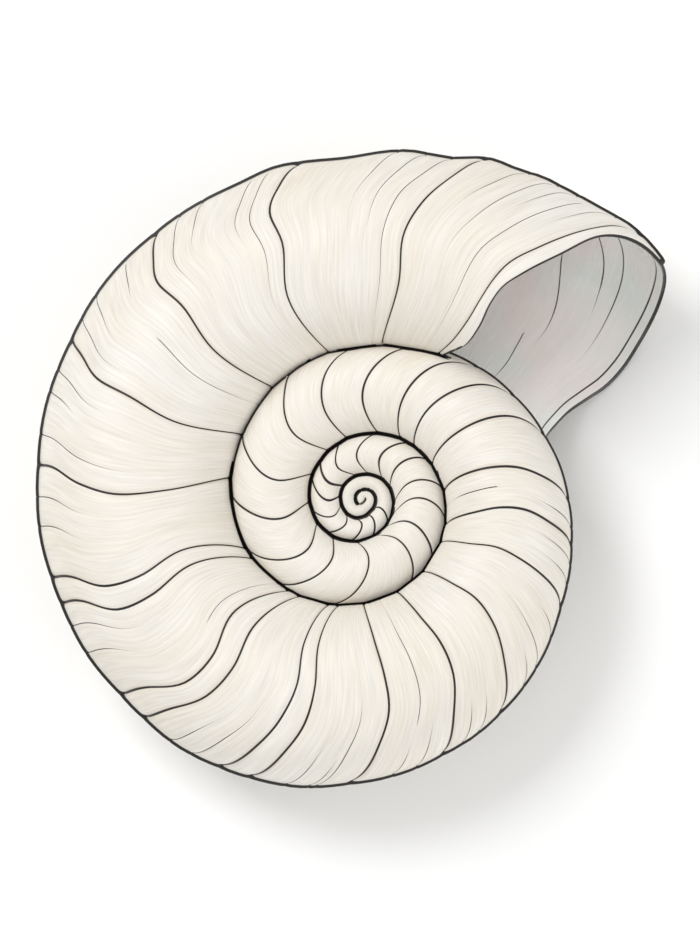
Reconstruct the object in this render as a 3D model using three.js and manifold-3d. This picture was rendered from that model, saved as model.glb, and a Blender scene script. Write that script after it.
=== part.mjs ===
import * as THREE from "three";
import { ParametricGeometry } from "three/addons/geometries/ParametricGeometry.js";
import { mergeVertices } from "three/addons/utils/BufferGeometryUtils.js";
import Module from "manifold-3d";

// Evolute nautilus shell in millimetres, lying on its far side with the coiling axis near +Z.
// A body angle is in degrees, counted counter-clockwise seen from above; growth runs the other
// way, so the angle rises from the lip back to the apex. A section angle runs round the tube:
// 0 is the venter (the outer rim), 90 the upper flank, 180 the inner rim and -90 the lower flank.

// Distance from the coiling axis to the venter, at body angles from the lip to the apex.
const venterAngles = [
  37, 44, 50, 56, 60, 64, 69, 75, 82, 92, 105, 118, 128, 140, 155, 170, 190, 205, 218, 230, 245, 270,
  300, 330, 360, 400, 450, 500, 550, 600, 660, 720, 780, 840, 900, 960, 1020, 1080, 1150, 1260, 1334,
  1378, 1440, 1530, 1620, 1675, 1720,
];
const venterRadii = [
  98.6, 98.4, 96.2, 95, 95, 93.4, 94, 91.3, 91, 89.1, 90.5, 89.4, 89.8, 89.4, 88.5, 87.4, 84.6, 82.3,
  81.5, 80.6, 78.6, 73.5, 66.9, 58.8, 52.8, 46.3, 40.6, 37.7, 35.3, 31.7, 27.4, 22.1, 18.4, 16.2, 14.9,
  13.2, 10.4, 7.9, 6.5, 6.6, 5.8, 4, 2.9, 2.3, 2.6, 2.3, 1,
];
const dorsumShare = 0.935; // how far out on the whorl inside it a whorl's inner rim lies
const breadthShare = 0.29; // half breadth of the tube over its venter radius
const apexAngle = 1700;

// Body angles of the wavy lip and of each strong growth line, at section angles from the rim to
// the seam. The first growth line runs beside the lip.
const seamSection = 167; // section angle where two whorls meet
const lipStations = [0, 15, 40, 70, 88, 100, 112, 128, 145, seamSection];
const lipUpper = [37, 40, 44, 46.1, 48.6, 50.4, 50.6, 49.9, 51.3, 58.6];
const lipLower = [37, 36.8, 35.8, 32.8, 30.2, 29, 28.3, 26.2, 22.5, 16.5];
const lipLine = [42.5, 44.3, 46.3, 49.5, 52.4, 53.3, 53.4, 53.8, 55.7, 60.6];
const bodyStations = [0, 40, 65, 88, 117, seamSection];
const bodyLines = [
  [69, 71, 74, 76, 76, 82],
  [100, 102, 105, 106, 107, 103],
  [127, 129, 132, 133, 134, 129],
  [150, 152, 156, 157, 158, 152],
  [172, 174, 178, 181, 180, 171],
  [192, 195, 200, 202, 200, 203],
  [197, 200, 206, 208, 206, 209],
  [218, 221, 228, 231, 227, 232],
  [224, 228, 234, 237, 235, 238],
  [241, 247, 252, 255, 253, 253],
  [247, 253, 258, 260, 258, 258],
  [267, 274, 279, 280, 278, 271],
  [286, 292, 297, 299, 297, 290],
  [301, 308, 313, 316, 315, 308],
  [330, 332, 335, 336, 333, 328],
  [346, 348, 351, 351, 347, 339],
  [358, 361, 365, 367, 367, 362],
];
const innerStations = [0, 50, 110, seamSection];
const innerLines = [
  [378, 386, 388, 383], [393, 402, 408, 404], [408, 418, 423, 417], [426, 438, 447, 437],
  [447, 461, 472, 466], [474, 484, 497, 487], [503, 517, 530, 515], [528, 544, 557, 544],
  [550, 573, 587, 568], [573, 594, 607, 592], [599, 625, 638, 621], [648, 665, 668, 645],
  [667, 683, 688, 663], [690, 710, 712, 682], [715, 729, 730, 705], [739, 753, 756, 738],
  [760, 774, 783, 764], [786, 805, 818, 801], [828, 837, 850, 830], [851, 863, 877, 870],
  [866, 884, 907, 896], [896, 919, 934, 916], [932, 948, 958, 942], [959, 979, 988, 965],
  [990, 1007, 1013, 995], [1018, 1037, 1045, 1025],
];
const smoothBend = [0, 17, 24, 10]; // the first whorls have no strong lines
const smoothStep = 30;
const lipBlend = 60; // degrees over which the oblique lip eases to lines alike on both flanks

const grooveDepth = 0.008; // over the venter radius
const grooveHalf = 1.3; // half width of a groove in degrees
const swellHeight = 0.008; // bulge between two lines over the venter radius
const fullSwellGap = 28; // a gap this wide in degrees bulges fully

const lipWall = 1.5;
const wall = 2.8;
const lipTaper = 12; // degrees over which the wall thins towards the lip
const dorsalThinning = 0.55; // share of the wall left where the chamber lies on the whorl inside
const chamberEnd = 158; // body angle at the rim where the living chamber meets its last septum
const septumDepth = 14; // degrees the septum bows back

// Rest pose: the coiling axis leans by this much towards this body angle.
const restTilt = 2.65;
const restTowards = 251.7;

const toRadians = THREE.MathUtils.degToRad;

// A smooth curve through the points (xs, ys), straight beyond its ends.
function curveThrough(xs, ys) {
  const slope = (i) => (ys[i + 1] - ys[i]) / (xs[i + 1] - xs[i]);
  const last = xs.length - 1;
  const tangent = (i) => {
    if (i === 0) return slope(0);
    if (i === last) return slope(last - 1);
    const before = xs[i] - xs[i - 1];
    const after = xs[i + 1] - xs[i];
    return (slope(i - 1) * after + slope(i) * before) / (before + after);
  };
  const tangents = xs.map((_, i) => tangent(i));
  return (x) => {
    if (x <= xs[0]) return ys[0] + (x - xs[0]) * tangents[0];
    if (x >= xs[last]) return ys[last] + (x - xs[last]) * tangents[last];
    const i = xs.findIndex((next) => next > x) - 1;
    const width = xs[i + 1] - xs[i];
    const t = (x - xs[i]) / width;
    return (
      ys[i] * (1 + 2 * t) * (1 - t) ** 2 +
      tangents[i] * width * t * (1 - t) ** 2 +
      ys[i + 1] * t * t * (3 - 2 * t) +
      tangents[i + 1] * width * t * t * (t - 1)
    );
  };
}

const logVenter = curveThrough(venterAngles, venterRadii.map(Math.log));
const venterAt = (angle) => Math.exp(logVenter(angle));

// Growth lines from the lip to the apex, each with its upper and lower course round the tube.
const lowerLip = curveThrough(lipStations, lipLower);
function growthLine(stations, angles) {
  const rim = angles[0];
  const upper = curveThrough(stations, angles);
  const ease = Math.min(1, (rim - lipUpper[0]) / lipBlend);
  const lower = (station) =>
    rim + (upper(station) - rim) * ease + (lowerLip(station) - lipLower[0]) * (1 - ease);
  return { rim, upper, lower };
}
const lines = [
  growthLine(lipStations, lipUpper),
  growthLine(lipStations, lipLine),
  ...bodyLines.map((angles) => growthLine(bodyStations, angles)),
  ...innerLines.map((angles) => growthLine(innerStations, angles)),
];
const lastGroove = lines.length - 1;
for (let rim = lines[lastGroove].rim + smoothStep; rim <= apexAngle; rim += smoothStep) {
  lines.push(growthLine(innerStations, smoothBend.map((bend) => rim + bend)));
}

// The growth row through a rim angle: the line before it and the share of the way to the next.
function rowAt(rimAngle) {
  const next = lines.findIndex((line) => line.rim > rimAngle);
  const before = Math.max(0, (next < 0 ? lines.length - 1 : next) - 1);
  const gap = lines[before + 1].rim - lines[before].rim;
  return { before, share: (rimAngle - lines[before].rim) / gap, gap };
}

// Body angle of a growth row on one flank, at a station from the rim (0) to the seam.
function flankAngle(row, side, station) {
  const from = lines[row.before][side](station);
  if (row.share < 0) return from + row.share * row.gap;
  return THREE.MathUtils.lerp(from, lines[row.before + 1][side](station), row.share);
}

// Body angle of a growth row at a section angle from -180 to 180. Past the seams, inside the
// whorl below, the two flanks' courses meet halfway.
function rowAngle(row, section) {
  const station = Math.abs(section);
  const [side, other] = section >= 0 ? ["upper", "lower"] : ["lower", "upper"];
  if (station <= seamSection) return flankAngle(row, side, station);
  const share = (0.5 * (station - seamSection)) / (180 - seamSection);
  const here = flankAngle(row, side, seamSection);
  return THREE.MathUtils.lerp(here, flankAngle(row, other, seamSection), share);
}

// Bulge between two lines, in shares of the venter radius.
function swellOf(row) {
  if (row.before > lastGroove || row.share <= 0) return 0;
  return swellHeight * Math.min(1, row.gap / fullSwellGap) * Math.sin(Math.PI * row.share);
}

// Body angle of the tube's centre line in a growth row.
const centreAngle = (row) => (rowAngle(row, 90) + rowAngle(row, -90)) / 2;

// A point on the tube; grow is 1 on the skin and 0 on the tube's centre line.
function tubePoint(row, section, inset, relief, grow, target) {
  const angle = THREE.MathUtils.lerp(centreAngle(row), rowAngle(row, section), grow);
  const venter = venterAt(angle);
  const dorsum = dorsumShare * venterAt(angle + 360);
  const cos = Math.cos(toRadians(section));
  const sin = Math.sin(toRadians(section));
  const thinning = THREE.MathUtils.lerp(dorsalThinning, 1, THREE.MathUtils.smoothstep(cos, -1, -0.7));
  const skinMove = relief * venter - inset * thinning;
  const radius = (venter + dorsum) / 2 + ((venter - dorsum) / 2 + skinMove) * cos * grow;
  const height = (breadthShare * venter + relief * venter - inset) * sin * grow;
  const turn = toRadians(angle);
  return target.set(radius * Math.cos(turn), radius * Math.sin(turn), height);
}

// A closed tube through the rows, which run from the lip's side to the apex's side.
function tube(rows, points) {
  const place = (u, v, target) => {
    const { row, inset = 0, relief = 0, grow = 1 } = rows[Math.round(v * (rows.length - 1))];
    const section = 180 - 360 * (u % 1);
    tubePoint(row, section, inset, relief, grow, target);
  };
  const geometry = new ParametricGeometry(place, points, rows.length - 1);
  geometry.deleteAttribute("normal");
  geometry.deleteAttribute("uv");
  const merged = mergeVertices(geometry, 1e-4);
  const corners = merged.index.array;
  const kept = [];
  for (let i = 0; i < corners.length; i += 3) {
    const [a, b, c] = [corners[i], corners[i + 1], corners[i + 2]];
    if (a !== b && b !== c && c !== a) kept.push(a, b, c);
  }
  return new wasm.Manifold(
    new wasm.Mesh({
      numProp: 3,
      vertProperties: merged.attributes.position.array,
      triVerts: new Uint32Array(kept),
    }),
  );
}

// Rows between two lines of the list, with a groove at each and even steps in the gaps.
function skinRows(first, last, step, grooved) {
  const rows = [];
  for (let k = first; k <= last; k++) {
    const rim = lines[k].rim;
    const relief = k <= lastGroove && k > 0 ? -grooveDepth : 0;
    const half = Math.min(grooveHalf, (lines[k + 1].rim - rim) / 4);
    if (grooved && k > first) rows.push({ row: rowAt(rim - half) });
    rows.push({ row: rowAt(rim), relief });
    if (k === last) break;
    if (grooved) rows.push({ row: rowAt(rim + half) });
    const gap = lines[k + 1].rim - rim;
    const between = Math.max(k < lastGroove ? 1 : 0, Math.round(gap / step) - 1);
    for (let j = 1; j <= between; j++) {
      const row = rowAt(rim + (gap * j) / (between + 1));
      rows.push({ row, relief: swellOf(row) });
    }
  }
  return rows;
}

// A point on the tube's centre line, which closes a tube in a cone.
const centreAt = (rimAngle) => ({ row: rowAt(rimAngle), grow: 0 });

const wasm = await Module();
wasm.setup();

// The tube is built in lengths under one turn, each ending in a cone inside its neighbour.
const coneReach = 10;
const lastLine = lines.length - 2;
const lengthEnds = [15, 29, 42, 52, 61, lastLine]; // numbers of the lines where the lengths meet
const rowSteps = [10, 18, 22, 30, 30, 30];
const sectionPoints = [24, 18, 14, 10, 10, 8];
const rimOf = (k) => lines[k].rim;

const lipRows = [
  { row: rowAt(rimOf(0)), inset: 0.6 },
  { row: rowAt(rimOf(0) + 0.4), inset: 0.15 },
  { row: rowAt(rimOf(0) + 1.2), relief: 0.002 },
];
const bodyRows = [
  { row: rowAt(rimOf(0)), grow: 0 },
  ...lipRows,
  ...skinRows(0, lengthEnds[0], rowSteps[0], true).slice(2),
  centreAt(rimOf(lengthEnds[0]) + coneReach),
];
const innerRows = (k) => [
  centreAt(rimOf(lengthEnds[k - 1]) - coneReach),
  ...skinRows(lengthEnds[k - 1], lengthEnds[k], rowSteps[k], k === 1),
  centreAt(rimOf(lengthEnds[k]) + coneReach),
];

// The living chamber, open past the lip and closed by a septum that bows towards the apex.
const chamberRows = [
  { row: rowAt(rimOf(0) - 8), grow: 0 },
  { row: rowAt(rimOf(0) - 8), inset: lipWall },
];
for (let rim = rimOf(0); rim < chamberEnd; rim += 9) {
  const inset = THREE.MathUtils.lerp(lipWall, wall, Math.min(1, (rim - rimOf(0)) / lipTaper));
  chamberRows.push({ row: rowAt(rim), inset });
}
for (const bow of [0, 25, 50, 72, 90]) {
  const row = rowAt(chamberEnd + septumDepth * Math.sin(toRadians(bow)));
  chamberRows.push({ row, inset: wall, grow: bow === 90 ? 0 : Math.cos(toRadians(bow)) });
}

let shellSolid = tube(bodyRows, sectionPoints[0]).subtract(tube(chamberRows, sectionPoints[0]));
for (let k = 1; k < lengthEnds.length; k++) {
  shellSolid = shellSolid.add(tube(innerRows(k), sectionPoints[k]));
}

const mesh = shellSolid.getMesh();
const geometry = new THREE.BufferGeometry();
geometry.setAttribute("position", new THREE.BufferAttribute(new Float32Array(mesh.vertProperties), 3));
geometry.setIndex(new THREE.BufferAttribute(new Uint32Array(mesh.triVerts), 1));

// Lay it down: lean the coiling axis, then set the box's bottom centre on the origin.
const lean = toRadians(restTowards);
geometry.applyMatrix4(
  new THREE.Matrix4().makeRotationAxis(
    new THREE.Vector3(-Math.sin(lean), Math.cos(lean), 0),
    toRadians(restTilt),
  ),
);
geometry.computeBoundingBox();
const centre = geometry.boundingBox.getCenter(new THREE.Vector3());
geometry.translate(-centre.x, -centre.y, -geometry.boundingBox.min.z);

const shell = new THREE.Mesh(
  geometry,
  new THREE.MeshStandardMaterial({ color: 0xf3efe6, roughness: 0.5, metalness: 0 }),
);
shell.name = "shell";

const root = new THREE.Group();
root.add(shell);
export default root;
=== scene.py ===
import bpy
import math
import numpy as np
from mathutils import Matrix, Vector, kdtree


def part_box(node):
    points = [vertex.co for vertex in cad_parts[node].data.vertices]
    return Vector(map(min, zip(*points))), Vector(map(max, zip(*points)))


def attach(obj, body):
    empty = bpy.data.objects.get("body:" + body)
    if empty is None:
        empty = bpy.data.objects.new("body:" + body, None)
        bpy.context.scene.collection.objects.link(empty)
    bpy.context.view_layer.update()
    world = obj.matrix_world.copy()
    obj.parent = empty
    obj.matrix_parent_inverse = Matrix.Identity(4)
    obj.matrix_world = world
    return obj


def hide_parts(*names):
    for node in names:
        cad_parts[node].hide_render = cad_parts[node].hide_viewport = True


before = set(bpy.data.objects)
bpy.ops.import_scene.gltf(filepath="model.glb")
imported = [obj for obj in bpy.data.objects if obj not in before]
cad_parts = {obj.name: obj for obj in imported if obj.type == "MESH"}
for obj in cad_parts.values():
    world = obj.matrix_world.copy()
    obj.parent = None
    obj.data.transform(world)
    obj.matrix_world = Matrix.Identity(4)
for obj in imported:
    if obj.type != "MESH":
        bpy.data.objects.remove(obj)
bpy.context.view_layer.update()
mm = 0.001
farGap = 9.0  # millimetres, further off than any line's mark reaches

# Body angles run back from the lip to the apex, in degrees. Section angles run round the tube:
# 0 is the outer rim, 90 the upper flank, 180 the inner rim.
# The radii and the lines' angles below are fitted values, not ones chosen by hand.
place = {"lean": 2.65, "leansTowards": 251.7, "crease": 38}

spiral = {
    "angles": [37, 44, 50, 56, 60, 64, 69, 75, 82, 92, 105, 111, 118, 128, 140, 155, 170, 190, 205, 218, 230,
               245, 270, 300, 330, 360, 400, 450, 478, 500, 550, 600, 660, 695, 720, 780, 840, 900, 960,
               1020, 1080, 1150, 1260, 1334, 1378, 1440, 1530, 1620, 1675, 1720],
    "radii": [98.6, 98.4, 96.2, 95, 94.6, 93.8, 94, 91.3, 91, 89.1, 90.2, 89.2, 89.4, 89.8, 89.4, 88.2, 87,
              84.9, 82.9, 81.2, 80.3, 78.4, 73.5, 66.9, 58.8, 52.6, 45.7, 40.6, 39.6, 38, 35.3, 31.7, 27.4,
              24.6, 22.3, 18.4, 16.2, 14.9, 13.2, 10.4, 7.9, 6.5, 6.6, 5.8, 4, 2.9, 2.3, 2.6, 2.3, 1],
    "dorsumShare": 0.935,  # a whorl's inner rim lies this far out on the whorl inside it
    "breadthShare": 0.29,  # half the tube's breadth over its radius from the axis
    "apex": 1700,
}

# each strong line's body angle at its stations, which are section angles from the rim to the seam
seamSection = 167
lines = {
    "lipStations": [0, 15, 40, 70, 88, 100, 112, 128, 145, seamSection],
    "lipUpper": [37, 40, 44, 46.1, 48.6, 50.4, 50.6, 49.9, 51.3, 58.6],
    "lipLower": [37, 36.2, 34.7, 31.9, 29.5, 28.2, 27.5, 26, 22.5, 16.5],
    "besideLip": [42.5, 44.3, 46.3, 49.9, 52.7, 53.3, 53.4, 53.8, 55.7, 60.6],
    "bodyStations": [0, 40, 65, 88, 117, seamSection],
    "body": [
        [69.5, 71.8, 75, 77, 75.9, 82], [100.6, 103.6, 106.2, 105.1, 108.1, 103],
        [127.6, 130.5, 132.9, 132.4, 134.5, 129.3], [150.9, 153.2, 156, 157, 158.8, 152.3],
        [173.1, 175, 178.3, 181, 180, 171], [193.2, 196.3, 201, 202.3, 199.5, 203],
        [198.1, 201.4, 206.9, 208, 205, 208.6], [218, 222.8, 229.3, 230.7, 226.3, 232],
        [224, 229.3, 235, 237, 234.7, 238], [241, 248.2, 252.8, 255, 253, 253],
        [247, 254.3, 258.8, 260, 258, 258], [266.5, 274.6, 279.4, 280, 278, 271],
        [286.3, 293, 298, 299.3, 297, 290], [301.5, 309.5, 315, 317.2, 315, 308],
        [330, 334, 335.7, 336.2, 333, 328], [346, 349.2, 351.6, 351, 347, 338.7],
        [358, 363, 366.4, 367.5, 367, 362],
    ],
    "innerStations": [0, 50, 110, seamSection],
    "inner": [
        [378, 386, 388, 383], [393, 402, 408, 404], [408, 418, 423, 417], [426, 438, 447, 437],
        [447, 461, 472, 466], [474, 484, 497, 487], [503, 517, 530, 515], [528, 544, 557, 544],
        [550, 573, 587, 568], [573, 594, 607, 592], [599, 625, 638, 621], [648, 665, 668, 645],
        [667, 683, 688, 663], [690, 710, 712, 682], [715, 729, 730, 705], [739, 753, 756, 738],
        [760, 774, 783, 764], [786, 805, 818, 801], [828, 837, 850, 830], [851, 863, 877, 870],
        [866, 884, 907, 896], [896, 919, 934, 916], [932, 948, 958, 942], [959, 979, 988, 965],
        [990, 1007, 1013, 995], [1018, 1037, 1045, 1025],
    ],
    "smoothBend": [0, 17, 24, 10],  # the first whorls have no strong lines
    "smoothStep": 30,
    "lipBlend": 60,  # the oblique lip eases over this many degrees to lines alike on both flanks
}

# Thin lines follow the growth rows: rim angle, then the section angles they start and fade at.
hairs = [
    (46.9, 0, 55), (49.9, 18, 165), (53.7, 0, 61), (57.1, 0, 105), (62, 0, 70), (74.7, 0, 160),
    (79, 0, 95), (83.7, 0, 73), (105, 10, 132), (108.2, 10, 84), (117.9, 0, 68), (122.4, 0, 95),
    (134.2, 10, 62), (136.5, 89, 165), (142.2, 0, 64), (146.8, 0, 84), (156.4, 0, 82), (160.3, 0, 60),
    (167.8, 0, 105), (178.7, 0, 68), (183.9, 0, 64), (202.6, 0, 77), (208.2, 0, 60), (213, 103, 163),
    (230.5, 0, 59), (235.2, 0, 77), (254, 0, 52), (258.4, 0, 40), (259.8, 0, 87), (275.5, 50, 153),
    (275.1, 0, 38), (280.2, 0, 49), (291, 0, 47), (295.1, 0, 42), (309.4, 0, 38), (314.3, 0, 71),
    (322.1, 0, 43), (335.7, 0, 49), (340.9, 0, 58), (350.3, 0, 58), (352, 90, 150),
]

relief = {
    "groove": 0.45, "grooveWidth": 0.85,  # millimetres, at the lip
    "hair": 0.14, "hairWidth": 0.4,
    "swell": 0.006, "fullSwellGap": 28, "lower": 0.45,
    "waver": 0.12,  # slow unevenness of a grown surface
    "besideHair": 0.35, "closestRows": 0.12,  # rows: millimetres beside a thin line, and degrees apart
}
# a thin line tapers over this share of its length
fade = {"taper": 0.45, "beforeStart": 0.06, "atEnd": 0.17}

# A fine raised cord stands for the dark outline. Its plane leans against the coil's, to lie where the
# outline runs in the camera's view.
keel = {"height": 0.95, "halfWidth": 0.62, "lean": 14, "leansTowards": 138, "rise": 2.6, "bends": 75,
        "ends": 430, "levelsOver": 60, "sinksOver": 4}

wall = {"thick": 2.8, "atLip": 1.5, "taper": 12, "roundOver": 1.0, "roundOutside": 0.6, "roundInside": 0.5,
        "dorsalThinning": 0.55, "thinsFrom": -0.7, "chamberEnd": 158, "septumDepth": 14,
        "innerLine": 39.0, "lipRadius": 75}
# fine lines on the chamber's far wall: rim angles at section angles on the lower flank
wallLines = [
    ([49.8, 47.9, 46.4], [28, 49, 82]),
    ([46.6, 44.5, 43.6], [15, 50, 105]),
    ([54.8, 52.4, 51.9], [57, 88, 115]),
    ([55.1, 54.1, 54.4], [112, 133, 166]),
]


def curveThrough(xs, ys):
    xs, ys = np.array(xs, float), np.array(ys, float)
    widths = np.diff(xs)
    slopes = np.diff(ys) / widths
    tangents = np.empty(len(xs))
    tangents[1:-1] = (slopes[:-1] * widths[1:] + slopes[1:] * widths[:-1]) / (widths[:-1] + widths[1:])
    tangents[0], tangents[-1] = slopes[0], slopes[-1]

    def curve(x):
        x = np.asarray(x, float)
        i = np.clip(np.searchsorted(xs, x) - 1, 0, len(xs) - 2)
        t = np.clip((x - xs[i]) / widths[i], 0, 1)
        y = (ys[i] * (1 + 2 * t) * (1 - t) ** 2 + tangents[i] * widths[i] * t * (1 - t) ** 2
             + ys[i + 1] * t * t * (3 - 2 * t) + tangents[i + 1] * widths[i] * t * t * (t - 1))
        return y + np.minimum(x - xs[0], 0) * tangents[0] + np.maximum(x - xs[-1], 0) * tangents[-1]
    return curve


def smooth(low, high, x):
    t = np.clip((x - low) / (high - low), 0, 1)
    return t * t * (3 - 2 * t)


logRadius = curveThrough(spiral["angles"], np.log(spiral["radii"]))


def outerRadius(angle):
    return np.exp(logRadius(angle))


def arcLength(degrees, radius):
    return degrees * radius * math.pi / 180


# the growth lines' courses over the upper and the lower flank
lipRim = lines["lipUpper"][0]
lowerLip = curveThrough(lines["lipStations"], lines["lipLower"])


def growthLine(stations, angles):
    rim = angles[0]
    upper = curveThrough(stations, angles)
    ease = min(1, (rim - lipRim) / lines["lipBlend"])
    return rim, upper, lambda s: rim + (upper(s) - rim) * ease + (lowerLip(s) - lipRim) * (1 - ease)


growthLines = [growthLine(lines["lipStations"], lines[name]) for name in ("lipUpper", "besideLip")]
growthLines += [growthLine(lines["bodyStations"], angles) for angles in lines["body"]]
growthLines += [growthLine(lines["innerStations"], angles) for angles in lines["inner"]]
grooveCount = len(growthLines)
while growthLines[-1][0] + lines["smoothStep"] <= spiral["apex"]:
    rim = growthLines[-1][0] + lines["smoothStep"]
    growthLines.append(growthLine(lines["innerStations"], [rim + bend for bend in lines["smoothBend"]]))
lineRims = np.array([line[0] for line in growthLines], float)


def lineBefore(rims):
    return np.clip(np.searchsorted(lineRims, rims, side="right") - 1, 0, len(lineRims) - 2)


# body angles of growth rows over one flank: 1 is the upper flank and 2 the lower
def flankAngles(flank, rims, station):
    before = lineBefore(rims)
    angles = np.empty(station.shape)
    for k in np.unique(before):
        rows = before == k
        gap = lineRims[k + 1] - lineRims[k]
        share = ((rims[rows] - lineRims[k]) / gap)[:, None]
        here, there = (growthLines[i][flank](station[rows]) for i in (k, k + 1))
        angles[rows] = np.where(share < 0, here + share * gap, here * (1 - share) + there * share)
    return angles


# the two flanks' courses meet halfway past the seams, inside the whorl below
def rowAngles(rims, sections):
    station = np.minimum(np.abs(sections), seamSection)
    past = 0.5 * np.clip((np.abs(sections) - seamSection) / (180 - seamSection), 0, 1)
    onUpper = np.where(sections >= 0, 1 - past, past)
    return flankAngles(1, rims, station) * onUpper + flankAngles(2, rims, station) * (1 - onUpper)


# distance in millimetres from each row to the nearest of some rim angles
def gapTo(rims, radius, targets):
    nearest = np.min(np.abs(rims[:, None] - np.array(targets)[None, :]), axis=1)
    return arcLength(nearest[:, None], radius)


# 0 along a thin line, and more past its start and where it tapers away
def pastEnds(station, start, end):
    taper = fade["taper"] * (end - start)
    before = fade["beforeStart"] * np.maximum(0, start - station)
    return before + fade["atEnd"] * np.maximum(0, station - end + taper) / taper


def hairGap(rims, station, radius):
    gap = np.full(station.shape, farGap)
    for rim, start, end in hairs:
        across = arcLength(np.abs(rims - rim)[:, None], radius)
        gap = np.minimum(gap, across + pastEnds(station, start, end))
    return gap


# section angles of a row's points: the columns round the rim follow the keel
def sectionGrid(rims, columns):
    leaning = math.tan(math.radians(keel["lean"])) * np.cos(np.radians(rims - keel["leansTowards"]))
    shift = np.degrees(np.arctan(leaning)) + keel["rise"]
    shift = shift * (1 - smooth(keel["ends"], keel["ends"] + keel["levelsOver"], rims))
    return columns[None, :] + shift[:, None] * (1 - smooth(0, keel["bends"], np.abs(columns)))[None, :]


def tubeGrid(rims, columns, inset, grow, surface):
    sections = sectionGrid(rims, columns)
    stations = np.tile(columns, (len(rims), 1))
    angle = rowAngles(rims, stations)
    middle = rowAngles(rims, np.tile([90.0, -90.0], (len(rims), 1))).mean(axis=1, keepdims=True)
    grow, inset = grow[:, None], inset[:, None]
    angle = middle * (1 - grow) + angle * grow
    radius = outerRadius(angle)
    dorsum = spiral["dorsumShare"] * outerRadius(angle + 360)
    turn = np.radians(sections)
    skin = surface(rims, stations, sections, angle, radius)
    full = smooth(-1, wall["thinsFrom"], np.cos(turn))
    thinning = wall["dorsalThinning"] + (1 - wall["dorsalThinning"]) * full
    halfWidth = (radius - dorsum) / 2 + skin["height"] - inset * thinning
    across = (radius + dorsum) / 2 + halfWidth * np.cos(turn) * grow
    up = (spiral["breadthShare"] * radius + skin["height"] - inset) * np.sin(turn) * grow
    around = np.radians(angle)
    points = np.stack([across * np.cos(around), across * np.sin(around), up], axis=-1)
    return points, skin, np.abs(stations)


# the outside: bulges between grooves, thin lines, the keel and a slow unevenness
def outside(rims, stations, sections, angle, radius):
    k = lineBefore(rims)
    share = np.clip((rims - lineRims[k]) / (lineRims[k + 1] - lineRims[k]), 0, 1)
    room = np.minimum(1, (lineRims[k + 1] - lineRims[k]) / relief["fullSwellGap"]) * (k < grooveCount - 1)
    swell = (relief["swell"] * np.sin(math.pi * share) * room)[:, None] * radius
    size = radius / spiral["radii"][0]
    strong = gapTo(rims, radius, lineRims[1:grooveCount])
    hair = hairGap(rims, np.abs(stations), radius)
    width = relief["grooveWidth"] * size ** 0.5
    groove = relief["groove"] * size ** 0.7 * np.exp(-(strong / width) ** 2)
    fine = relief["hair"] * np.exp(-(hair / relief["hairWidth"]) ** 2)
    turn = np.radians(sections)
    around = np.radians(angle)
    waver = (np.sin(around * 7 + 2 * np.cos(turn)) * 0.5 + np.sin(around * 17 + 3 * np.sin(turn) + 1) * 0.3
             + np.sin(around * 29 + 5 * np.cos(turn + 1)) * 0.2) * relief["waver"] * size
    fromKeel = arcLength(np.abs(stations), spiral["breadthShare"] * radius)
    fromKeel = fromKeel + farGap * smooth(keel["ends"] - keel["sinksOver"], keel["ends"], rims)[:, None]
    cord = keel["height"] * size ** 0.5 * np.exp(-(fromKeel / keel["halfWidth"]) ** 4)
    height = swell - groove * np.maximum(0, 1 - cord) - fine + waver + cord - relief["lower"] * size
    return {"height": height, "strongGap": strong,
            "hairGap": hair, "keelGap": fromKeel, "lipGap": gapTo(rims, radius, [lipRim])}


def chamberSkin(rims, stations, sections, angle, radius):
    skin = {name: np.full(sections.shape, farGap) for name in ("hairGap", "keelGap")}
    skin["height"] = np.zeros(sections.shape)
    skin["strongGap"] = gapTo(rims, radius, [wall["innerLine"]])
    skin["lipGap"] = gapTo(rims, radius, [lipRim])
    return skin


# rows close together at each line and evenly spread between
def rowRims(first, last, step, strong, fine, reach):
    rims = list(np.arange(first, last, step)) + [last]
    for rim in strong:
        perMm = 180 / math.pi / float(outerRadius(rim))
        rims += [rim + side * offset * perMm for offset in reach for side in (-1, 1)] + [rim]
    for rim in fine:
        perMm = 180 / math.pi / float(outerRadius(rim))
        rims += [rim - relief["besideHair"] * perMm, rim, rim + relief["besideHair"] * perMm]
    closest = relief["closestRows"]
    keep = set(strong) | set(fine) | {first, last}
    rims = sorted(set(round(rim, 4) for rim in rims if first <= rim <= last))
    chosen = [rims[0]]
    for rim in rims[1:]:
        if rim in keep and rim - chosen[-1] < closest and chosen[-1] not in keep:
            chosen[-1] = rim
        elif rim - chosen[-1] >= closest or rim in keep:
            chosen.append(rim)
    return np.array(chosen)


evenColumns = 180 - 360 * np.arange(96) / 96
keelColumns = np.array([0.6, 1.2, 1.9, 2.7])
outerColumns = np.sort(np.concatenate([evenColumns, keelColumns, -keelColumns]))[::-1]


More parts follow.
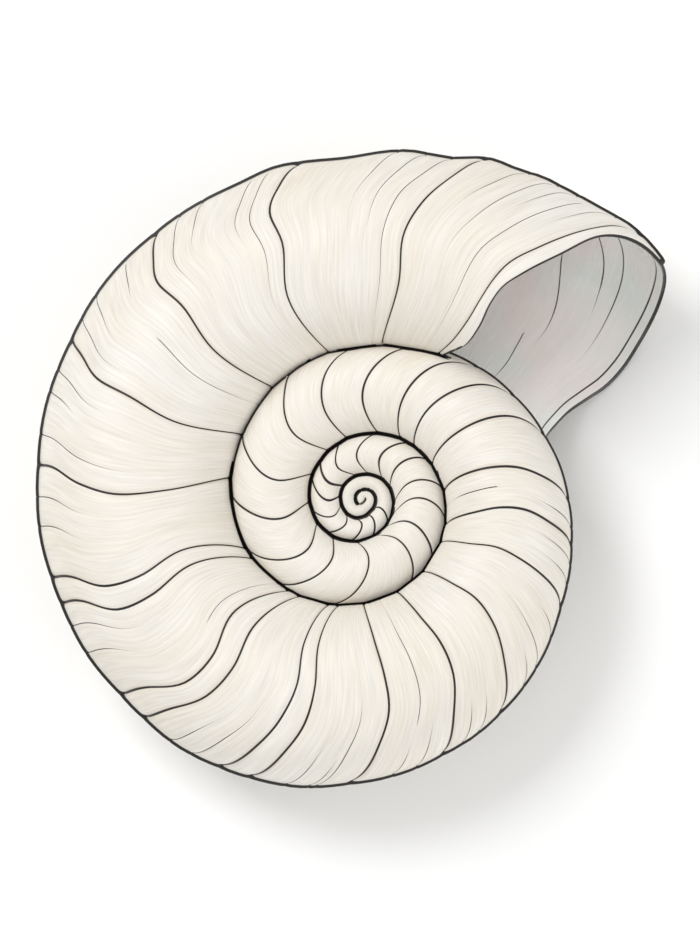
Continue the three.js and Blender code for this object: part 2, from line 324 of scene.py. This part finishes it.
def makeTube(name, rims, columns, surface, inset=None, grow=None, tips=(10, 10), isInside=0.0):
    inset = np.zeros(len(rims)) if inset is None else inset
    grow = np.ones(len(rims)) if grow is None else grow
    points, skin, station = tubeGrid(rims, columns, inset, grow, surface)
    rows, count = len(rims), len(columns)
    tipPoints = []
    for rim in (rims[0] - tips[0], rims[-1] + tips[1]):
        grid, _, _ = tubeGrid(np.array([rim]), columns[:1], np.zeros(1), np.zeros(1), surface)
        tipPoints.append(grid[0, 0])
    vertices = np.vstack([points.reshape(-1, 3)] + tipPoints) * mm
    index = np.arange(rows * count).reshape(rows, count)
    right = np.roll(index, -1, axis=1)
    faces = np.stack([index[:-1], right[:-1], right[1:], index[1:]], axis=-1).reshape(-1, 4).tolist()
    faces += [[rows * count, right[0, j], index[0, j]] for j in range(count)]
    faces += [[rows * count + 1, index[-1, j], right[-1, j]] for j in range(count)]
    mesh = bpy.data.meshes.new(name)
    mesh.from_pydata(vertices.tolist(), [], faces)
    data = {key: skin[key].ravel() for key in ("strongGap", "hairGap", "keelGap", "lipGap")}
    data["growth"] = np.repeat(rims, count)
    data["station"] = station.ravel()
    data["inside"] = np.full(rows * count, isInside)
    data = {key: np.append(values, [values[0], values[-1]]) for key, values in data.items()}
    thing = bpy.data.objects.new(name, mesh)
    bpy.context.scene.collection.objects.link(thing)
    return thing, vertices, data


# a quarter-round edge: full depth at the lip and none past the round
def lipRound(rims, depth):
    t = np.clip(arcLength(np.maximum(rims - lipRim, 0), wall["lipRadius"]) / wall["roundOver"], 0, 1)
    return depth * (1 - np.sqrt(1 - (1 - t) ** 2))


print("scene: growing the whorls")
grooves = lineRims[1:grooveCount]
cuts = [37, 301.5, 599, 932, 1258, 1528, 1648]
steps = [2.0, 2.4, 3.6, 7.0, 9.0, 9.0]
reaches = [(0.25, 0.55, 1.0, 1.7), (0.25, 0.6, 1.2), (0.25, 0.6, 1.2), (0.3,), (), ()]
edgeRims = lipRim + np.array([0.1, 0.25, 0.4, 0.55, 0.75, 1.0, 1.2, 1.4, 1.8, 2.3])


def whorlRims(k):
    first, last = cuts[k], cuts[k + 1]
    strong = [rim for rim in grooves if first <= rim <= last]
    fine = [rim for rim, _, _ in hairs if first <= rim <= last]
    return rowRims(first, last, steps[k], strong, fine, reaches[k])


bodyRims = np.unique(np.concatenate([whorlRims(0), edgeRims]))
tubes = [makeTube("bodyWhorl", bodyRims, outerColumns, outside, tips=(0, 10),
                  inset=lipRound(bodyRims, wall["roundOutside"]))]

# the chamber runs a little past the lip, and its septum is a dome that bows towards the apex
bow = np.radians([12, 24, 36, 48, 58, 67, 75, 82, 87])
chamberRims = np.concatenate([[29.0, 33.0, 36.0, 36.9], edgeRims[:-1],
                              wall["innerLine"] + np.array([0, 0.4]), np.arange(40, 60, 0.8),
                              np.arange(60, wall["chamberEnd"], 2.6),
                              wall["chamberEnd"] + wall["septumDepth"] * np.sin(bow)])
chamberGrow = np.concatenate([np.ones(len(chamberRims) - len(bow)), np.cos(bow)])
thickness = wall["atLip"] + (wall["thick"] - wall["atLip"]) * smooth(0, wall["taper"], chamberRims - lipRim)
tubes.append(makeTube("chamber", chamberRims, evenColumns, chamberSkin, grow=chamberGrow, tips=(0, 0.05),
                      inset=thickness - lipRound(chamberRims, wall["roundInside"]), isInside=1.0))
for k, name in enumerate(("middleWhorl", "innerWhorl", "thirdWhorl", "secondWhorl", "firstWhorl"), start=1):
    tubes.append(makeTube(name, whorlRims(k), outerColumns, outside))

print("scene: joining them")
# millimetres, but for the lip's rows and stations
joint = {"newBeyond": 0.02, "seamStep": 0.2, "lipRows": 38, "lipStations": 150}
shell = tubes[0][0]
for k, tool in enumerate(tubes[1:]):
    step = shell.modifiers.new(tool[0].name, "BOOLEAN")
    step.object = tool[0]
    step.operation = "DIFFERENCE" if k == 0 else "UNION"
    step.solver = "MANIFOLD"
bpy.context.view_layer.update()
joined = bpy.data.meshes.new_from_object(shell.evaluated_get(bpy.context.evaluated_depsgraph_get()))
shell.modifiers.clear()
shell.data = joined
for thing, _, _ in tubes[1:]:
    bpy.data.objects.remove(thing)
shell.name = "shellSurface"


def treeOf(points):
    tree = kdtree.KDTree(len(points))
    for i, point in enumerate(points):
        tree.insert(point, i)
    tree.balance()
    return tree


# every vertex takes what its nearest grown point knows; new ones lie on the seams
allPoints = np.vstack([tube[1] for tube in tubes])
allData = {key: np.concatenate([tube[2][key] for tube in tubes]) for key in tubes[0][2]}
tree = treeOf(allPoints)
found = [tree.find(vertex.co) for vertex in joined.vertices]
nearest = np.array([hit[1] for hit in found])
isNew = np.array([hit[2] for hit in found]) > joint["newBeyond"] * mm
vertexData = {key: values[nearest] for key, values in allData.items()}
atLip = isNew & (vertexData["growth"] < joint["lipRows"]) & (vertexData["station"] < joint["lipStations"])
onSeam = isNew & ~atLip
seamPoints = []
for edge in joined.edges:
    a, b = edge.vertices
    if onSeam[a] and onSeam[b]:
        start, end = joined.vertices[a].co, joined.vertices[b].co
        count = max(1, int((end - start).length / (joint["seamStep"] * mm)))
        seamPoints += [start.lerp(end, i / count) for i in range(count + 1)]

# The seam's dark band is painted shade in the crease where the whorls meet. It is measured flat on the
# upper side, along the direction the camera looks from at rest. It is even in width from there, and is
# fixed to the surface.
facing = {"lean": 14, "leansTowards": -42, "reach": 2.6}
lean, towards = math.radians(facing["lean"]), math.radians(facing["leansTowards"])
faceAxis = Vector((math.sin(lean) * math.cos(towards), math.sin(lean) * math.sin(towards), math.cos(lean)))
upperSeam = [point for point in seamPoints if point.z > 0]
lowerSeam = [point for point in seamPoints if point.z <= 0]
flatTree = treeOf([point - faceAxis * point.dot(faceAxis) for point in upperSeam])
lowerTree = treeOf(lowerSeam)


def seamGap(point):
    if point.z <= 0:
        return lowerTree.find(point)[2] / mm
    _, i, gap = flatTree.find(point - faceAxis * point.dot(faceAxis))
    return gap / mm if (point - upperSeam[i]).length < facing["reach"] * mm else farGap


vertexData["seamGap"] = np.array([min(farGap, seamGap(vertex.co)) for vertex in joined.vertices])
vertexData["lipGap"][atLip] = 0
for key, values in vertexData.items():
    layer = joined.attributes.new(key, "FLOAT", "POINT")
    layer.data.foreach_set("value", values.astype(np.float32))

# each wall line: signed distance across it, and how far past its ends
flankStation = vertexData["station"]
for number, (rims, stations) in enumerate(wallLines):
    course = curveThrough(stations, rims)(np.clip(flankStation, stations[0], stations[-1]))
    across = arcLength(vertexData["growth"] - course, wall["lipRadius"])
    onWall = (vertexData["inside"] > 0.5) & np.array([vertex.co.z < 0 for vertex in joined.vertices])
    along = np.where(onWall, pastEnds(flankStation, stations[0], stations[-1]), farGap)
    layer = joined.attributes.new("wallLine%d" % number, "FLOAT_VECTOR", "POINT")
    layer.data.foreach_set("vector", np.stack([across, along, 0 * along], axis=1).astype(np.float32).ravel())
print("scene: shell has", len(joined.vertices), "vertices and",
      sum(len(face.vertices) - 2 for face in joined.polygons), "triangles")

print("scene: laying the shell down")
towards = math.radians(place["leansTowards"])
lay = Matrix.Rotation(math.radians(place["lean"]), 4, Vector((-math.sin(towards), math.cos(towards), 0)))
joined.transform(lay)
corners = np.array([vertex.co for vertex in joined.vertices])
low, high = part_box("shell")
shift = Vector(((low.x + high.x) / 2 - (corners[:, 0].min() + corners[:, 0].max()) / 2,
                (low.y + high.y) / 2 - (corners[:, 1].min() + corners[:, 1].max()) / 2,
                low.z - corners[:, 2].min()))
joined.transform(Matrix.Translation(shift))
coilCentre = shift
joined.polygons.foreach_set("use_smooth", [True] * len(joined.polygons))
joined.set_sharp_from_angle(angle=math.radians(place["crease"]))


# materials

def newMaterial(name):
    material = bpy.data.materials.new(name)
    material.use_nodes = True
    tree = material.node_tree
    return material, tree, tree.nodes["Principled BSDF"]


def plug(tree, socket, value):
    if isinstance(value, bpy.types.NodeSocket):
        tree.links.new(value, socket)
    else:
        socket.default_value = value


def node(tree, kind, values=None, **settings):
    made = tree.nodes.new(kind)
    for key, value in settings.items():
        setattr(made, key, value)
    for key, value in (values or {}).items():
        plug(tree, made.inputs[key], value)
    return made


def mixColour(tree, factor, first, second, blend="MIX"):
    made = node(tree, "ShaderNodeMix", data_type="RGBA", blend_type=blend)
    for socket, value in ((0, factor), (6, first), (7, second)):  # factor, A and B of a colour mix
        plug(tree, made.inputs[socket], value)
    return made.outputs[2]


def maths(tree, operation, *values):
    return node(tree, "ShaderNodeMath", dict(enumerate(values)), operation=operation).outputs[0]


def spread(tree, value, low, high, toLow=0.0, toHigh=1.0):
    limits = {"Value": value, "From Min": low, "From Max": high, "To Min": toLow, "To Max": toHigh}
    return node(tree, "ShaderNodeMapRange", limits).outputs["Result"]


def noiseAt(tree, where, scale, detail):
    made = node(tree, "ShaderNodeTexNoise", {"Vector": where, "Scale": scale, "Detail": detail})
    return made.outputs["Fac"]


def attribute(tree, name, output="Fac"):
    return node(tree, "ShaderNodeAttribute", attribute_name=name).outputs[output]


# a band along a line, for dark lines, stains and the painted shade in the seams' creases:
# full within the half width, gone past the softness
def lineBandGroup():
    group = bpy.data.node_groups.new("LineBand", "ShaderNodeTree")
    for name in ("Gap", "Half Width", "Softness"):
        group.interface.new_socket(name, in_out="INPUT", socket_type="NodeSocketFloat")
    group.interface.new_socket("Mask", in_out="OUTPUT", socket_type="NodeSocketFloat")
    start = group.nodes.new("NodeGroupInput")
    end = group.nodes.new("NodeGroupOutput")
    edge = maths(group, "ADD", start.outputs["Half Width"], start.outputs["Softness"])
    ramp = node(group, "ShaderNodeMapRange",
                {"Value": start.outputs["Gap"], "From Min": start.outputs["Half Width"], "From Max": edge,
                 "To Min": 1.0, "To Max": 0.0}, interpolation_type="SMOOTHSTEP")
    group.links.new(ramp.outputs["Result"], end.inputs["Mask"])
    return group


# streaks that run along the growth rows, from two scales of stretched noise
def striaeGroup():
    group = bpy.data.node_groups.new("GrowthStriae", "ShaderNodeTree")
    for name in ("Growth", "Station", "Fineness"):
        group.interface.new_socket(name, in_out="INPUT", socket_type="NodeSocketFloat")
    for name in ("Fine", "Broad"):
        group.interface.new_socket(name, in_out="OUTPUT", socket_type="NodeSocketFloat")
    start = group.nodes.new("NodeGroupInput")
    end = group.nodes.new("NodeGroupOutput")
    grown = maths(group, "MULTIPLY", start.outputs["Growth"], start.outputs["Fineness"])
    for name, along, across, detail in (("Fine", 1.0, 0.03, 4.0), ("Broad", 0.12, 0.012, 2.0)):
        x = maths(group, "MULTIPLY", grown, along)
        y = maths(group, "MULTIPLY", start.outputs["Station"], across)
        spot = node(group, "ShaderNodeCombineXYZ", {"X": x, "Y": y}).outputs[0]
        group.links.new(noiseAt(group, spot, 1.0, detail), end.inputs[name])
    return group


lineBand = lineBandGroup()
striae = striaeGroup()


def placed(tree, group, values):
    made = node(tree, "ShaderNodeGroup", node_tree=group)
    for key, value in values.items():
        plug(tree, made.inputs[key], value)
    return made


def lineBandMask(tree, gap, width):
    half, soft = width
    return placed(tree, lineBand, {"Gap": gap, "Half Width": half, "Softness": soft}).outputs["Mask"]


def strongest(tree, masks):
    total = masks[0]
    for mask in masks[1:]:
        total = maths(tree, "MAXIMUM", total, mask)
    return total


def streaksFor(tree, fineness):
    return placed(tree, striae, {"Growth": attribute(tree, "growth"), "Station": attribute(tree, "station"),
                                 "Fineness": fineness})


# chalky cream outside; the widths are half widths and softness in millimetres; the seamGap width is
# painted shade in the crease between whorls
outer = {
    "chalk": (0.80, 0.78, 0.735, 1), "cream": (0.72, 0.62, 0.48, 1), "creamAmount": 0.6,
    "inkAndSeamShade": (0.012, 0.010, 0.009, 1), "stain": (0.60, 0.51, 0.39, 1), "stainAmount": 0.4,
    "streakTone": (0.86, 1.06), "fineness": 1.6, "grain": 900.0, "cloud": 22.0, "wear": 60.0,
    "widths": {"strongGap": (0.31, 0.14), "hairGap": (0.08, 0.12), "seamGap": (0.46, 0.14),
               "keelGap": (0.72, 0.16), "lipGap": (0.62, 0.14)},
    "seamStain": (0.3, 3.2), "grooveStain": (0.2, 1.6),
    "roughness": (0.38, 0.62), "specular": 0.4, "bump": 0.35, "bumpDepth": 0.25, "grainBump": 0.25,
}


def shellMaterial():
    material, tree, shader = newMaterial("shellOutside")
    streaks = streaksFor(tree, outer["fineness"])
    where = node(tree, "ShaderNodeTexCoord").outputs["Object"]
    grain = noiseAt(tree, where, outer["grain"], 3.0)
    cloud = noiseAt(tree, where, outer["cloud"], 3.0)
    warm = maths(tree, "ADD", streaks.outputs["Broad"], maths(tree, "SUBTRACT", cloud, 0.55))
    creamy = maths(tree, "MULTIPLY", warm, outer["creamAmount"])
    colour = mixColour(tree, creamy, outer["chalk"], outer["cream"])
    tone = spread(tree, streaks.outputs["Fine"], 0.25, 0.75, *outer["streakTone"])
    colour = mixColour(tree, 1.0, colour, tone, "MULTIPLY")
    gaps = {name: attribute(tree, name) for name in outer["widths"]}
    stains = [lineBandMask(tree, gaps["seamGap"], outer["seamStain"]),
              lineBandMask(tree, gaps["strongGap"], outer["grooveStain"])]
    worn = spread(tree, noiseAt(tree, where, outer["wear"], 2.0), 0.4, 0.62)
    patchy = maths(tree, "MULTIPLY", worn, outer["stainAmount"])
    stained = maths(tree, "MULTIPLY", strongest(tree, stains), patchy)
    colour = mixColour(tree, stained, colour, outer["stain"])
    # near-black over the growth lines, thin lines, keel and lip, and as painted shade along the seams
    inkAndSeamShade = strongest(tree, [lineBandMask(tree, gaps[name], width) for name, width in outer["widths"].items()])
    plug(tree, shader.inputs["Base Color"], mixColour(tree, inkAndSeamShade, colour, outer["inkAndSeamShade"]))
    plug(tree, shader.inputs["Roughness"], spread(tree, cloud, 0.3, 0.7, *outer["roughness"]))
    coarse = maths(tree, "MULTIPLY", grain, outer["grainBump"])
    height = maths(tree, "ADD", streaks.outputs["Fine"], coarse)
    bump = node(tree, "ShaderNodeBump", {"Height": height, "Strength": outer["bump"],
                                         "Distance": outer["bumpDepth"] * mm})
    plug(tree, shader.inputs["Normal"], bump.outputs["Normal"])
    plug(tree, shader.inputs["Specular IOR Level"], outer["specular"])
    return material


# pearly inside; its rose and sea-green patches are painted iridescent sheen
nacre = {
    "pearl": (0.9, 0.875, 0.85, 1), "rose": (0.88, 0.70, 0.67, 1), "sea": (0.64, 0.82, 0.78, 1),
    "paintedSheenAmount": 0.8, "paintedSheen": 30.0, "fineness": 0.9, "inkAndSeamShade": (0.03, 0.026, 0.022, 1),
    "widths": {"strongGap": (0.2, 0.12), "seamGap": (0.46, 0.14), "lipGap": (0.8, 0.14)},
    "wallWidth": (0.09, 0.12),
    "roughness": (0.16, 0.34), "bump": 0.2, "bumpDepth": 0.2, "coat": 0.4, "coatRoughness": 0.12,
}


def nacreMaterial():
    material, tree, shader = newMaterial("shellNacre")
    streaks = streaksFor(tree, nacre["fineness"])
    where = node(tree, "ShaderNodeTexCoord").outputs["Object"]
    # painted iridescent sheen: rose and sea-green patches laid along the broad streaks
    paintedSheenPatches = spread(tree, noiseAt(tree, where, nacre["paintedSheen"], 2.0), 0.35, 0.65)
    paintedSheen = mixColour(tree, paintedSheenPatches, nacre["rose"], nacre["sea"])
    colour = mixColour(tree, maths(tree, "MULTIPLY", streaks.outputs["Broad"], nacre["paintedSheenAmount"]),
                       nacre["pearl"], paintedSheen)
    # near-black over the lines and the lip, and as painted shade along the seams' creases
    masks = [lineBandMask(tree, attribute(tree, name), width) for name, width in nacre["widths"].items()]
    for number in range(len(wallLines)):
        across = node(tree, "ShaderNodeSeparateXYZ", {0: attribute(tree, "wallLine%d" % number, "Vector")})
        gap = maths(tree, "ADD", maths(tree, "ABSOLUTE", across.outputs["X"]), across.outputs["Y"])
        masks.append(lineBandMask(tree, gap, nacre["wallWidth"]))
    plug(tree, shader.inputs["Base Color"], mixColour(tree, strongest(tree, masks), colour, nacre["inkAndSeamShade"]))
    gloss = spread(tree, streaks.outputs["Fine"], 0.3, 0.7, *nacre["roughness"])
    plug(tree, shader.inputs["Roughness"], gloss)
    bump = node(tree, "ShaderNodeBump", {"Height": streaks.outputs["Fine"], "Strength": nacre["bump"],
                                         "Distance": nacre["bumpDepth"] * mm})
    plug(tree, shader.inputs["Normal"], bump.outputs["Normal"])
    plug(tree, shader.inputs["Coat Weight"], nacre["coat"])
    plug(tree, shader.inputs["Coat Roughness"], nacre["coatRoughness"])
    return material


print("scene: materials")
joined.materials.clear()
joined.materials.append(shellMaterial())
joined.materials.append(nacreMaterial())
insideOf = vertexData["inside"]
for face in joined.polygons:
    face.material_index = 1 if sum(insideOf[v] for v in face.vertices) > 0.5 * len(face.vertices) else 0

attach(shell, "root")
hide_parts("shell")

print("scene: floor and lights")
floor = {"side": 8.0, "colour": (0.9, 0.9, 0.895, 1), "shade": (0.86, 0.86, 0.86, 1), "shadeAmount": 0.06,
         "roughness": 0.9, "cloud": 3.0, "tooth": 700.0, "bump": 0.1, "bumpDepth": 0.05}


def makeFloor():
    half = floor["side"] / 2
    mesh = bpy.data.meshes.new("studioFloor")
    corners = [(-half, -half, 0), (half, -half, 0), (half, half, 0), (-half, half, 0)]
    mesh.from_pydata(corners, [], [(0, 1, 2, 3)])
    thing = bpy.data.objects.new("studioFloor", mesh)
    bpy.context.scene.collection.objects.link(thing)
    material, tree, shader = newMaterial("studioPaper")
    where = node(tree, "ShaderNodeTexCoord").outputs["Object"]
    cloud = maths(tree, "MULTIPLY", noiseAt(tree, where, floor["cloud"], 2.0), floor["shadeAmount"])
    plug(tree, shader.inputs["Base Color"], mixColour(tree, cloud, floor["colour"], floor["shade"]))
    tooth = noiseAt(tree, where, floor["tooth"], 2.0)
    bump = node(tree, "ShaderNodeBump", {"Height": tooth, "Strength": floor["bump"],
                                         "Distance": floor["bumpDepth"] * mm})
    plug(tree, shader.inputs["Normal"], bump.outputs["Normal"])
    plug(tree, shader.inputs["Roughness"], floor["roughness"])
    mesh.materials.append(material)
    return thing


makeFloor()

studio = {
    "world": (1.0, 1.0, 1.0), "worldStrength": 0.62,
    "key": {"from": (-0.75, 0.75, 1.5), "size": 0.9, "watts": 18},
    "fill": {"from": (1.4, -0.6, 0.9), "size": 1.6, "watts": 11},
    "back": {"from": (-0.3, -1.6, 1.0), "size": 1.6, "watts": 5},
}


def makeLight(name, settings):
    light = bpy.data.lights.new(name, "AREA")
    light.size = settings["size"]
    light.energy = settings["watts"]
    thing = bpy.data.objects.new(name, light)
    thing.location = settings["from"]
    thing.rotation_euler = (-Vector(settings["from"])).to_track_quat("-Z", "Y").to_euler()
    bpy.context.scene.collection.objects.link(thing)


for name in ("key", "fill", "back"):
    makeLight(name, studio[name])
world = bpy.data.worlds.new("studioWorld")
world.use_nodes = True
sky = world.node_tree.nodes["Background"]
sky.inputs["Color"].default_value = (*studio["world"], 1)
sky.inputs["Strength"].default_value = studio["worldStrength"]
bpy.context.scene.world = world

print("scene: camera")
# a long lens, leaning from the coiling axis towards the side the mouth faces
view = {"tilt": 14.0, "towards": -42.0, "distance": 2.0, "tall": 242.9, "lookRight": -3.9, "lookUp": 7.5,
        "sensor": 36, "farthest": 50}


def makeCamera():
    data = bpy.data.cameras.new("camera")
    thing = bpy.data.objects.new("camera", data)
    bpy.context.scene.collection.objects.link(thing)
    tilt, side = math.radians(view["tilt"]), math.radians(view["towards"])
    away = Vector((math.sin(tilt) * math.cos(side), math.sin(tilt) * math.sin(side), math.cos(tilt)))
    right = Vector((0, 1, 0)).cross(away).normalized()
    turn = lay.to_3x3() @ Matrix((right, away.cross(right), away)).transposed()
    away = turn.col[2]
    target = coilCentre + turn @ Vector((view["lookRight"], view["lookUp"], 0)) * mm
    thing.matrix_world = Matrix.Translation(target + away * view["distance"]) @ turn.to_4x4()
    data.sensor_width = view["sensor"]
    data.lens = view["sensor"] * view["distance"] / (view["tall"] * mm)
    data.clip_end = view["farthest"]
    bpy.context.scene.camera = thing


makeCamera()
bpy.context.scene.view_settings.view_transform = "Standard"
bpy.context.scene.view_settings.look = "None"
